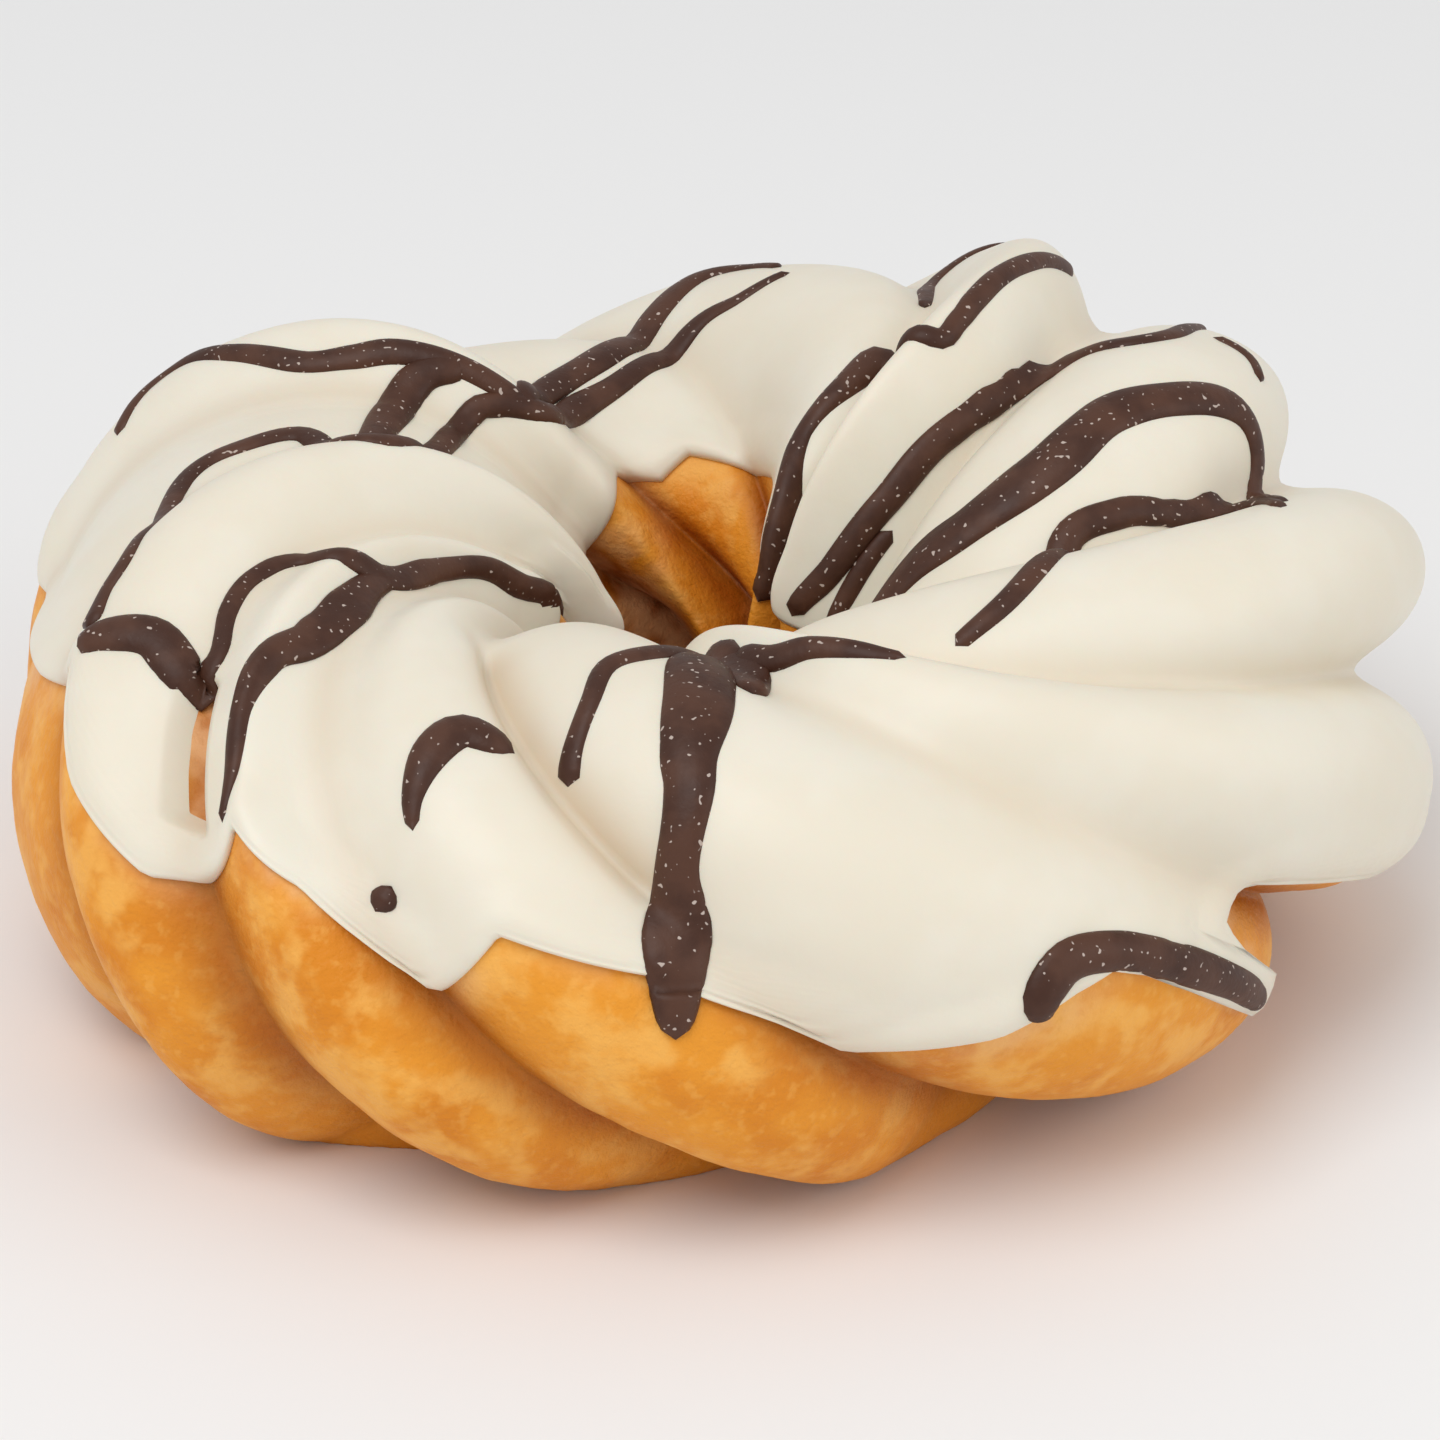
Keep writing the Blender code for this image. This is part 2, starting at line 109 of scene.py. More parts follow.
# Lumps of the fried crust: size and height, and numbers that scatter a lattice's values
CRUST_LUMPS = ((6.5 * MM, 0.18 * MM), (3.0 * MM, 0.11 * MM), (1.4 * MM, 0.05 * MM))
CRUST_SET_BACK = 0.26 * MM
SCATTER_TURNS = (12.9898, 78.233, 37.719)
SCATTER_FOLD = 43758.5453


def ease(t):
    """Smooth step from 0 to 1 with level ends: 3 t squared minus 2 t cubed."""
    t = np.clip(t, 0.0, 1.0)
    return t * t * (3.0 - 2.0 * t)


def waves(ring_angle, table):
    """Sum of slow waves round the ring: each row adds a * cos(order * u) + b * sin(order * u)."""
    u = np.radians(ring_angle)
    return sum(a * np.cos(order * u) + b * np.sin(order * u) for order, a, b in table)


def between_ridges(values, place):
    """Value of a per-ridge table at a place, eased from one ridge to the next."""
    low = np.floor(place).astype(int)
    share = ease(place - low)
    return values[low % RIDGES] * (1.0 - share) + values[(low + 1) % RIDGES] * share


def seam_window(rope_angle):
    """1 over the rope, easing to 0 at the seam under it, where the twist is even."""
    away = np.mod(rope_angle - SEAM, 360.0)
    return ease(np.minimum(away, 360.0 - away) / SEAM_FADE)


def groove_start():
    """Ring angle of the first groove at the rim if all grooves were even."""
    rim = np.array([groove[1] for groove in GROOVES], float)
    return np.mean(rim - RIDGE_STEP * np.arange(RIDGES))


def groove_offset(place, rope_angle):
    """How many ridge steps a groove lies away from the even twist: the cubic in the rope
    angle that passes through the groove's four places."""
    knots = np.array(GROOVE_PLACES)
    index = np.arange(RIDGES)[:, None]
    even = groove_start() + RIDGE_STEP * index + TWIST * knots[None, :]
    table = (np.array(GROOVES, float) - even) / RIDGE_STEP
    v = np.clip(rope_angle, knots[0], knots[-1])
    total = 0.0
    for j, knot in enumerate(knots):
        weight = 1.0
        for other in np.delete(knots, j):
            weight = weight * (v - other) / (knot - other)
        total = total + between_ridges(table[:, j], place) * weight
    return total


def ring_angle_of(ridge_place, rope_angle):
    """Ring angle of a place counted in ridges: ridge k has its crest at k. It is the even
    twist's angle plus the groove's own offset."""
    place = ridge_place - 0.5
    shift = seam_window(rope_angle) * groove_offset(place, rope_angle)
    return groove_start() + TWIST * rope_angle + RIDGE_STEP * (place + shift)


def ridge_place_of(ring_angle, rope_angle):
    """The inverse of ring_angle_of, found by repeating the shift until it settles."""
    even = (ring_angle - groove_start() - TWIST * rope_angle) / RIDGE_STEP
    place = even
    for _ in range(SETTLING_ROUNDS):
        place = even - seam_window(rope_angle) * groove_offset(place, rope_angle)
    return place + 0.5


def past_fold(ridge_place, rope_angle):
    """How many ridges a place lies past the fold, and 1 along the fold, eased to 0 at its ends."""
    past = (ridge_place - FOLD_GROOVE + RIDGES / 2) % RIDGES - RIDGES / 2
    low, high, fade = FOLD_ANGLES
    return past, ease((rope_angle - low) / fade) * ease((high - rope_angle) / fade)


def rope_radius(ridge_place, ring_angle, rope_angle):
    """Distance from the rope's middle line to its surface. The section is a union of round
    lobes: each lobe's far side is at shift * cos(d) + sqrt(radius^2 - (shift * sin(d))^2),
    d from its crest, then scaled by the ridge's own size and the waves round the ring. At the
    fold a step, -height * tanh(past) times a bell, lifts one side and sinks the other."""
    across = ridge_place - np.round(ridge_place)
    angle = across * 2.0 * np.pi / SECTION_LOBES
    side = LOBE_SHIFT * np.sin(angle)
    star = LOBE_SHIFT * np.cos(angle) + np.sqrt(LOBE_RADIUS ** 2 - side * side)
    past, along = past_fold(ridge_place, rope_angle)
    bell = np.exp(-((past / FOLD_REACH) ** 2)) * along
    star = star - FOLD_HEIGHT * np.tanh(past / FOLD_SHARPNESS) * bell
    crest = LOBE_SHIFT + LOBE_RADIUS
    base = ease(BASE_EASE * (1.0 - np.abs(rope_angle - BASE_MIDDLE) / BASE_HALF_WIDTH))
    more, start, run = HOLE_DEPTH
    deeper = more * ease((rope_angle - start) / run)
    more, start, run = BELOW_DEPTH
    deeper = deeper + more * ease((start - rope_angle) / run)
    depth = 1.0 + waves(ring_angle, GROOVE_DEPTH_WAVES) + deeper * seam_window(rope_angle)
    depth = depth * (1.0 - BASE_GROOVE_LOSS * base)
    top, below = PROUD_BLEND
    low = ease((top - rope_angle) / (top - below))
    proud = between_ridges(np.array(PROUD_TOP, float), ridge_place) * (1.0 - low)
    proud = proud + between_ridges(np.array(PROUD_BELOW, float), ridge_place) * low
    radius = (crest - depth * (crest - star)) * (1.0 + seam_window(rope_angle) * proud / 100.0)
    radius = radius * (1.0 + waves(ring_angle, ROPE_WAVES))
    inner = (0.5 - 0.5 * np.cos(np.radians(rope_angle))) ** 2
    return radius * (1.0 - HOLE_SQUEEZE * inner)


def surface_points(ridge_place, rope_angle, extra):
    """Points a given distance outside the rope's surface: a ring of radius R(u) carries a
    section of radius r(s, v), so out = R + r cos v and height = squash * r sin v, cut flat
    where it rests."""
    ring_angle = ring_angle_of(ridge_place, rope_angle)
    u = np.radians(ring_angle)
    v = np.radians(rope_angle)
    radius = rope_radius(ridge_place, ring_angle, rope_angle) + extra
    out = RING_RADIUS * (1.0 + waves(ring_angle, RADIUS_WAVES)) + radius * np.cos(v)
    height = ROPE_SQUASH * radius * np.sin(v) + waves(ring_angle, LIFT_WAVES)
    height = np.maximum(height, REST_LEVEL) - REST_LEVEL
    x = out * np.cos(u) + HOLE_MIDDLE[0]
    y = out * np.sin(u) + HOLE_MIDDLE[1]
    return np.stack([x, y, height], axis=-1)


def lumps(points, size, seed):
    """A smooth random field from -1 to 1. Every corner of a lattice of cubes has its own
    value, from a folded sine of its numbers, and a place has the eased mix of eight corners."""
    cell = points / size
    low = np.floor(cell)
    share = ease(cell - low)
    total = np.zeros(points.shape[:-1])
    for corner in np.ndindex(2, 2, 2):
        turn = np.sin((low + corner) @ np.array(SCATTER_TURNS) + seed) * SCATTER_FOLD
        weight = np.prod(np.where(np.array(corner) == 1, share, 1.0 - share), axis=-1)
        total = total + (2.0 * (turn - np.floor(turn)) - 1.0) * weight
    return total


# The icing's edges, which the crust needs too: ring angle and rope angle of points on them
ICING_EDGE = (
    (0, -26), (15, -22), (30, -14), (45, -20), (60, -6), (75, -12), (90, 0), (105, -8),
    (120, 6), (135, 0), (150, 14), (165, 8), (180, 15), (193, 23), (206, 40), (215, 25),
    (224, 16), (228, 18), (231, 33), (238, 26), (244, 17), (250, 9), (255, 25), (267, 18),
    (277, 5), (283, -5), (294, -2), (300, 4), (304, 6), (307, 1), (320, -26), (326, -35), (328, -29),
    (319, -9), (317, -1), (321, 3), (340, -20), (350, -26),
)
ICING_HOLE_EDGE = (
    (0, 170), (30, 165), (50, 152), (65, 142), (78, 137), (90, 133), (96, 140), (106, 137),
    (116, 150), (124, 162), (150, 166), (172, 167), (181, 151), (190, 150), (200, 167),
    (250, 165), (300, 168), (340, 172),
)
# Size on the surface of one degree along the ring and round the rope, at each of the two edges
RIM_DEGREE = (0.70 * MM, 0.35 * MM)
HOLE_DEGREE = (0.24 * MM, 0.33 * MM)
EDGE_REACH = 9
# The bare slit low in one groove: its groove, the rope angles it runs between and their fade,
# half width in ridges, the half widths at which its side has faded out, steepness, depth
SLIT_GROOVE = 1.5
SLIT_ANGLES = (27.0, 57.0)
SLIT_FADE = 3.0
SLIT_HALF_WIDTH = 0.055
SLIT_SIDE_END = 1.5
SLIT_SIDE_STEEPNESS = 2.0
SLIT_DEPTH = 0.9 * MM


def edge_angle(ridge_place, table):
    """Rope angle of an icing edge at a ridge place: straight between the table's points,
    placed by ridge, because the icing ran down along the ridges."""
    points = np.array(table, float)
    places = ridge_place_of(points[:, 0], points[:, 1])
    return np.interp(ridge_place, places, points[:, 1], period=RIDGES)


def edge_distance(ridge_place, rope_angle):
    """Distance in over the icing from its nearest edge, 0 beyond the edges. It is the least
    of the lengths to the edge's points on the columns to both sides, where one ridge step is
    30 degrees along the ring and one degree up a ridge is half a degree back along it."""
    nearest = np.full(np.shape(ridge_place + rope_angle), 1.0)
    for column in range(-EDGE_REACH, EDGE_REACH + 1):
        step = column / RIDGE_COLUMNS
        up = np.maximum(rope_angle - edge_angle(ridge_place + step, ICING_EDGE), 0.0)
        along, around = RIM_DEGREE
        low = np.hypot(along * (RIDGE_STEP * step - TWIST * up), around * up)
        up = np.maximum(edge_angle(ridge_place + step, ICING_HOLE_EDGE) - rope_angle, 0.0)
        along, around = HOLE_DEGREE
        high = np.hypot(along * (RIDGE_STEP * step + TWIST * up), around * up)
        nearest = np.minimum(nearest, np.minimum(low, high))
    return nearest


def slit_share(ridge_place, rope_angle):
    """1 inside the bare slit and 0 outside it: a narrow strip along its groove."""
    across = (ridge_place - SLIT_GROOVE + RIDGES / 2) % RIDGES - RIDGES / 2
    low, high = SLIT_ANGLES
    along = ease((rope_angle - low) / SLIT_FADE) * ease((high - rope_angle) / SLIT_FADE)
    return along * ease(SLIT_SIDE_STEEPNESS * (SLIT_SIDE_END - np.abs(across) / SLIT_HALF_WIDTH))


def icing_cover(distance, slit):
    """0 at the icing's edges and in the slit, rising to 1 a short way in."""
    return ease((distance - DIP_START) / DIP_RUN) * (1.0 - slit)


def grid_quads(index):
    """Four corners of every cell of a grid of point numbers."""
    return np.stack([index[:-1, :-1], index[1:, :-1], index[1:, 1:], index[:-1, 1:]], axis=-1)


def mesh_object(name, points, faces, attributes):
    """An object at the origin from an array of points and a list of faces, with one number a
    point for each named attribute."""
    mesh = bpy.data.meshes.new(name)
    mesh.from_pydata(points.reshape(-1, 3).tolist(), [], faces)
    mesh.validate()
    mesh.shade_smooth()
    for key, values in attributes.items():
        layer = mesh.attributes.new(key, "FLOAT", "POINT")
        layer.data.foreach_set("value", np.ascontiguousarray(values, np.float32).ravel())
    made = bpy.data.objects.new(name, mesh)
    bpy.context.scene.collection.objects.link(made)
    return made


# Rope angles of the painted shade: the hole's wall from its start, over a run, to its end, over a
# run; the dark deep part of that wall and the underside, each from its start, over a run
HOLE_WALL = (135.0, 30.0, 250.0, 20.0)
DEEP_WALL = (150.0, 60.0)
UNDERSIDE = (-20.0, -70.0)
# Painted shade in the grooves: width in ridges, more width and strength in the hole, limit, slit
CREASE_WIDTH = 0.13
CREASE_WIDER = 0.07
CREASE_STRONGER = 0.6
CREASE_LIMIT = 1.2
CREASE_IN_SLIT = 0.9
# Smeared icing: how far below the edge, size of its patches, their seed, contrast and middle
SMEAR_RUN = 1.8 * MM
SMEAR_PATCH = 7.0 * MM
SMEAR_SEED = 3.0
SMEAR_CONTRAST = 1.2
SMEAR_MIDDLE = 0.3


def crust_grid():
    """Points of the whole ring over ridge place and rope angle, with the crust's lumps and
    set back under the icing, and the masks that its colours follow: painted shade in the creases,
    on the underside and deep in the hole, and icing smeared below the icing's edge."""
    columns = np.arange(RIDGES * RIDGE_COLUMNS) / RIDGE_COLUMNS - 0.5
    rows = SEAM + 360.0 * np.arange(DOUGH_ROWS) / DOUGH_ROWS
    place, angle = np.meshgrid(columns, rows, indexing="ij")
    plain = surface_points(place, angle, 0.0)
    relief = sum(depth * lumps(plain, size, size / MM) for size, depth in CRUST_LUMPS)
    slit = slit_share(place, angle)
    cover = icing_cover(edge_distance(place, angle), slit)
    points = surface_points(place, angle, relief - CRUST_SET_BACK - DOUGH_DIP * cover
                            - SLIT_DEPTH * slit)
    across = np.abs(place - np.round(place))
    start, start_run, end, end_run = HOLE_WALL
    inside = ease((angle - start) / start_run) * ease((end - angle) / end_run)
    # Painted shade in the grooves, wider and stronger on the hole's wall, and in the slit
    groove_shade = np.exp(-(((0.5 - across) / (CREASE_WIDTH + CREASE_WIDER * inside)) ** 2))
    groove_shade = np.minimum(groove_shade * (1.0 + CREASE_STRONGER * inside), CREASE_LIMIT)
    groove_shade = np.maximum(groove_shade, CREASE_IN_SLIT * slit)
    # Painted shade on the underside, and on the deep part of the hole's wall
    start, run = UNDERSIDE
    under = ease((np.where(angle > 180.0, angle - 360.0, angle) - start) / run)
    start, run = DEEP_WALL
    deep = inside * ease((angle - start) / run)
    below = np.maximum(edge_angle(place, ICING_EDGE) - angle, 0.0) * RIM_DEGREE[1]
    patches = ease(SMEAR_CONTRAST * lumps(plain, SMEAR_PATCH, SMEAR_SEED) + SMEAR_MIDDLE)
    smear = np.exp(-((below / SMEAR_RUN) ** 2)) * patches
    # The masks: painted shade in the grooves, underneath and deep in the hole, and smeared icing
    return points, {"groove_shade": groove_shade, "under": under, "deep": deep, "smear": smear}


class Channel:
    """A shader socket that can stand in a sum: each operator adds one Math node."""

    def __init__(self, finish, socket):
        self.finish = finish
        self.socket = socket

    def maths(self, operation, first, second):
        return self.finish.node("ShaderNodeMath", {0: first, 1: second}, operation=operation)

    def __add__(self, other):
        return self.maths("ADD", self, other)

    def __radd__(self, other):
        return self.maths("ADD", other, self)

    def __mul__(self, other):
        return self.maths("MULTIPLY", self, other)

    def __rmul__(self, other):
        return self.maths("MULTIPLY", other, self)


class Finish:
    """One material: the Principled shader's constants, and the nodes that feed it."""

    def __init__(self, name, **constants):
        self.material = bpy.data.materials.new(name)
        self.material.use_nodes = True
        self.tree = self.material.node_tree
        self.shader = self.tree.nodes["Principled BSDF"]
        for key, value in constants.items():
            self.shader.inputs[key.replace("_", " ")].default_value = value

    def node(self, kind, inputs, output=0, **settings):
        """Adds a node: its settings first, then the values or links of its sockets."""
        made = self.tree.nodes.new(kind)
        for key, value in settings.items():
            setattr(made, key, value)
        for key, value in inputs.items():
            if isinstance(value, Channel):
                self.tree.links.new(value.socket, made.inputs[key])
            else:
                made.inputs[key].default_value = value
        return Channel(self, made.outputs[output])

    def place(self):
        return self.node("ShaderNodeTexCoord", {}, output="Object")

    def grain(self, scale, detail, roughness=0.55):
        """Noise from 0 to 1 in Object coordinates; the scale is in grains a metre."""
        inputs = {"Vector": self.place(), "Scale": scale, "Detail": detail, "Roughness": roughness}
        return self.node("ShaderNodeTexNoise", inputs, output="Fac")

    def attribute(self, name):
        return self.node("ShaderNodeAttribute", {}, output="Fac", attribute_name=name)

    def step(self, value, low, high):
        """0 below low and 1 above high, smoothly between."""
        inputs = {"Value": value, "From Min": low, "From Max": high}
        return self.node("ShaderNodeMapRange", inputs, interpolation_type="SMOOTHSTEP")

    def mix(self, share, first, second):
        """Colour between two colours."""
        return self.node("ShaderNodeMix", {0: share, 6: first, 7: second}, output=2, data_type="RGBA")

    def bump(self, height, depth, strength):
        """Normal from a height between 0 and 1 that stands for a depth in metres."""
        return self.node("ShaderNodeBump", {"Height": height, "Distance": depth, "Strength": strength})

    def feed(self, socket, channel):
        self.tree.links.new(channel.socket, self.shader.inputs[socket])


CRUST_GOLD = (0.82, 0.315, 0.024, 1.0)
CRUST_PALE = (0.93, 0.48, 0.105, 1.0)
CRUST_AMBER = (0.66, 0.195, 0.005, 1.0)
# Brown of the painted shade in the grooves and deep in the hole
CRUST_SHADE_BROWN = (0.33, 0.075, 0.002, 1.0)
# Darker gold of the painted shade underneath
CRUST_UNDER_SHADE = (0.62, 0.205, 0.012, 1.0)
CRUST_SMEAR = (0.86, 0.50, 0.25, 1.0)
# Grains a metre of the crust's patches, and how strongly each colour shows at the most
AMBER_GRAINS, AMBER_SHARE = 120.0, 0.60
PALE_GRAINS, PALE_SHARE = 210.0, 0.70
SPECK_GRAINS, SPECK_SHARE = 900.0, 0.30
# Painted shade in the grooves: its grains a metre, least share and change
GROOVE_SHADE_GRAINS, GROOVE_SHADE_SHARE, GROOVE_SHADE_CHANGE = 160.0, 0.55, 0.5
SMEAR_GRAINS, SMEAR_SHARE = 300.0, 0.60
# Shares of the painted shade underneath and deep in the hole
UNDER_SHADE_SHARE = 0.70
DEEP_SHADE_SHARE = 0.75
# Roughness: least, change, grains. Relief: depth, blisters and pores in grains, their shares
CRUST_ROUGHNESS, CRUST_ROUGHER, CRUST_SHEEN_GRAINS = 0.42, 0.22, 700.0
CRUST_RELIEF = 0.40 * MM
BLISTER_GRAINS, BLISTER_SHARE = 520.0, 0.7
PORE_GRAINS, PORE_SHARE = 2400.0, 0.3


def crust_finish():
    """Golden crust: gold with pale and amber patches, painted shade in the grooves, underneath and
    deep in the hole, and a thin smear of icing along the icing's lower edge."""
    finish = Finish("fried choux crust", IOR=1.33, Coat_Weight=0.04, Coat_Roughness=0.25)
    patches = finish.step(finish.grain(PALE_GRAINS, 3.0), 0.46, 0.64)
    specks = finish.step(finish.grain(SPECK_GRAINS, 2.0), 0.52, 0.70)
    amber = finish.step(finish.grain(AMBER_GRAINS, 2.0), 0.48, 0.66)
    colour = finish.mix(amber * AMBER_SHARE, CRUST_GOLD, CRUST_AMBER)
    colour = finish.mix(patches * PALE_SHARE, colour, CRUST_PALE)
    colour = finish.mix(specks * SPECK_SHARE, colour, CRUST_PALE)
    # Painted shade underneath
    colour = finish.mix(finish.attribute("under") * UNDER_SHADE_SHARE, colour, CRUST_UNDER_SHADE)
    # Painted shade in the grooves, its strength changing with a grain
    groove_shade_strength = GROOVE_SHADE_SHARE + GROOVE_SHADE_CHANGE * finish.grain(GROOVE_SHADE_GRAINS, 2.0)
    colour = finish.mix(finish.attribute("groove_shade") * groove_shade_strength, colour, CRUST_SHADE_BROWN)
    # Painted shade deep in the hole
    colour = finish.mix(finish.attribute("deep") * DEEP_SHADE_SHARE, colour, CRUST_SHADE_BROWN)
    smear = finish.attribute("smear") * finish.step(finish.grain(SMEAR_GRAINS, 2.0), 0.30, 0.60)
    colour = finish.mix(smear * SMEAR_SHARE, colour, CRUST_SMEAR)
    finish.feed("Base Color", colour)
    sheen = finish.grain(CRUST_SHEEN_GRAINS, 3.0)
    finish.feed("Roughness", CRUST_ROUGHNESS + CRUST_ROUGHER * sheen)
    blisters = finish.grain(BLISTER_GRAINS, 4.0, 0.65)
    height = blisters * BLISTER_SHARE + finish.grain(PORE_GRAINS, 2.0) * PORE_SHARE
    finish.feed("Normal", finish.bump(height, CRUST_RELIEF, 0.8))
    return finish.material


crust_points, crust_masks = crust_grid()
crust_index = np.arange(crust_points[..., 0].size).reshape(crust_points.shape[:2])
crust_index = np.vstack([crust_index, crust_index[:1]])
crust_turned = np.roll(crust_index[:-1, :1], SECTION_LOBES * RIDGE_COLUMNS, axis=0)
crust_turned = np.vstack([crust_turned, crust_turned[:1]])
crust_index = np.hstack([crust_index, crust_turned])
crust_quads = grid_quads(crust_index).reshape(-1, 4).tolist()
crust = mesh_object("fried_choux_crust", crust_points, crust_quads, crust_masks)
crust.data.materials.append(crust_finish())
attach(crust, "root")
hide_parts("choux_ring")


# The vanilla icing. The ring is dipped upside down in warm cream icing and turned over, so the
# icing is a thin smooth skin over the top, thicker in the grooves and at its edges, which ran
# down along the ridges before they set. It is stuck to the crust all over.

# Grid of the icing: rows near the outer edge and beyond, their crowding, the even line
EDGE_ROWS = 60
ICING_ROWS = 140
ROW_CROWDING = 0.06
LINE_REACH = 12
LINE_GAP = 4.0
# Height of the skin's face over the plain rope, which the crust under it is set back from
ICING_SKIN = 0.02 * MM
# How far the icing evens out each groove, in ridges, and how that mean is taken and blended
ICING_FILL_WIDTHS = (0.17, 0.11, 0.16, 0.11, 0.11, 0.07, 0.08, 0.09, 0.10, 0.08, 0.15, 0.18)
ICING_FILL_SKIN = 0.05 * MM
FILL_STEPS = 11
FILL_REACH = 2.4
SKIN_BLEND = 8.0 / MM
# The bead along each edge: its height, the run of its quarter round, the run of its fall
ICING_BEAD = 0.50 * MM
ICING_BEAD_RUN = 1.2 * MM
ICING_BEAD_FALL = 3.0 * MM
ICING_WAVES = ((11.0 * MM, 0.12 * MM), (4.5 * MM, 0.05 * MM))
# The icing's underside, sunk in the crust, has every eighth row. In the slit both faces drop.
ICING_UNDER = 0.30 * MM
LOW_STEP = 8
SLIT_TOP_DROP = 0.6 * MM
SLIT_LOW_DROP = 0.7 * MM


def filled_radius(ridge_place, rope_angle):
    """The rope's radius with its grooves evened out: the mean over nearby ridge places at the
    same rope angle, weighted by a bell curve as wide as the groove's icing."""
    width = between_ridges(np.array(ICING_FILL_WIDTHS), ridge_place - 0.5)
    offsets = np.linspace(-FILL_REACH, FILL_REACH, FILL_STEPS)
    weights = np.exp(-0.5 * offsets ** 2)
    total = 0.0
    for offset, weight in zip(offsets, weights / weights.sum()):
        near = ridge_place + offset * width
        total = total + weight * rope_radius(near, ring_angle_of(near, rope_angle), rope_angle)
    return total


def even_line(edge):
    """A smooth line just inside an uneven edge: the highest edge over the nearby columns, then
    its bell mean, then a little higher still."""
    offsets = np.arange(-LINE_REACH, LINE_REACH + 1)
    high = np.max([np.roll(edge, k) for k in offsets], axis=0)
    weights = np.exp(-0.5 * (2.0 * offsets / LINE_REACH) ** 2)
    mean = sum(w * np.roll(high, k) for k, w in zip(offsets, weights / weights.sum()))
    return np.maximum(mean, edge) + LINE_GAP


def icing_grid():
    """Ridge place and rope angle over the icing. Rows run from its uneven outer edge to an even
    line, so that a tongue doesn't skew the rest, and from there to the edge in the hole."""
    columns = np.arange(RIDGES * RIDGE_COLUMNS) / RIDGE_COLUMNS - 0.5
    outer = edge_angle(columns, ICING_EDGE)
    line = even_line(outer)[:, None]
    outer = outer[:, None]
    hole = edge_angle(columns, ICING_HOLE_EDGE)[:, None]
    edge_share = np.linspace(0.0, 1.0, EDGE_ROWS, endpoint=False)[None, :]
    share = np.linspace(0.0, 1.0, ICING_ROWS + 1)
    share = (share + ROW_CROWDING * np.sin(np.pi * share))[None, :]
    angle = np.hstack([outer + (line - outer) * edge_share, line + (hole - line) * share])
    return np.broadcast_to(columns[:, None], angle.shape), angle


def icing_heights(place, angle):
    """Height of the icing's face over the plain rope. The skin is even, grooves are filled up
    to the evened rope except right at the fold, and each edge is a bead: a quarter round,
    sqrt(1 - (1 - t)^2), then an easy fall. In the slit the face drops to the crust."""
    radius = rope_radius(place, ring_angle_of(place, angle), angle)
    past, along = past_fold(place, angle)
    open_fold = along * np.exp(-((past / FOLD_REACH) ** 2))
    filled = (filled_radius(place, angle) - radius) * (1.0 - open_fold) + ICING_FILL_SKIN
    top = np.log(np.exp(SKIN_BLEND * ICING_SKIN) + np.exp(SKIN_BLEND * filled)) / SKIN_BLEND
    plain = surface_points(place, angle, 0.0)
    top = top + sum(depth * lumps(plain, size, size / MM) for size, depth in ICING_WAVES)
    distance = edge_distance(place, angle)
    rise = np.sqrt(1.0 - (1.0 - np.clip(distance / ICING_BEAD_RUN, 0.0, 1.0)) ** 2)
    fall = 1.0 - ease((distance - ICING_BEAD_RUN) / ICING_BEAD_FALL)
    top = (top + ICING_BEAD * fall) * rise
    slit = slit_share(place, angle)
    return top * (1.0 - slit) - (SLIT_DEPTH + SLIT_TOP_DROP) * slit


# Painted shade in the icing, a tan: strength and width in the grooves, and middle and width past the
# fold
SHADE_IN_GROOVES = (0.45, 0.10)
SHADE_AT_FOLD = (0.05, 0.11)


def painted_icing_shade(place, angle):
    """Up to 1 where the icing has painted tan shade: a bell over each groove, and one over the low
    side of the fold."""
    across = np.abs(place - np.round(place))
    strength, width = SHADE_IN_GROOVES
    groove = strength * np.exp(-(((0.5 - across) / width) ** 2))
    past, along = past_fold(place, angle)
    middle, width = SHADE_AT_FOLD
    return np.maximum(groove, along * np.exp(-(((past - middle) / width) ** 2)))


ICING_CREAM = (0.800, 0.735, 0.605, 1.0)
ICING_LIGHT = (0.830, 0.785, 0.675, 1.0)
# A tan painted shade over the grooves and the fold
ICING_SHADE_TAN = (0.62, 0.465, 0.305, 1.0)
# Shares of the clouds and the painted tan shade, grains a metre of clouds, sheen, ripples and pits,
# and the relief
LIGHT_SHARE, SHADE_TAN_SHARE = 0.6, 0.65
CLOUD_GRAINS = 90.0
ICING_ROUGHNESS, ICING_ROUGHER, ICING_SHEEN_GRAINS = 0.36, 0.14, 300.0
ICING_RELIEF = 0.15 * MM
RIPPLE_GRAINS, RIPPLE_SHARE = 260.0, 0.8
PIT_GRAINS, PIT_SHARE = 1500.0, 0.2


def icing_finish():
    """Cream icing: satin, faintly clouded, with a little tan painted shade over the grooves and fold.
    """
    finish = Finish("vanilla icing", IOR=1.46, Subsurface_Weight=0.12, Subsurface_Scale=0.0015)
    clouds = finish.step(finish.grain(CLOUD_GRAINS, 3.0), 0.40, 0.65)
    colour = finish.mix(clouds * LIGHT_SHARE, ICING_CREAM, ICING_LIGHT)
    # Painted shade: tan over the grooves and the fold
    colour = finish.mix(finish.attribute("groove_shade") * SHADE_TAN_SHARE, colour, ICING_SHADE_TAN)
    finish.feed("Base Color", colour)
    sheen = finish.grain(ICING_SHEEN_GRAINS, 2.0)
    finish.feed("Roughness", ICING_ROUGHNESS + ICING_ROUGHER * sheen)
    ripples = finish.grain(RIPPLE_GRAINS, 3.0)
    height = ripples * RIPPLE_SHARE + finish.grain(PIT_GRAINS, 2.0) * PIT_SHARE
    finish.feed("Normal", finish.bump(height, ICING_RELIEF, 0.5))
    return finish.material


icing_place, icing_angle = icing_grid()
icing_height = icing_heights(icing_place, icing_angle)
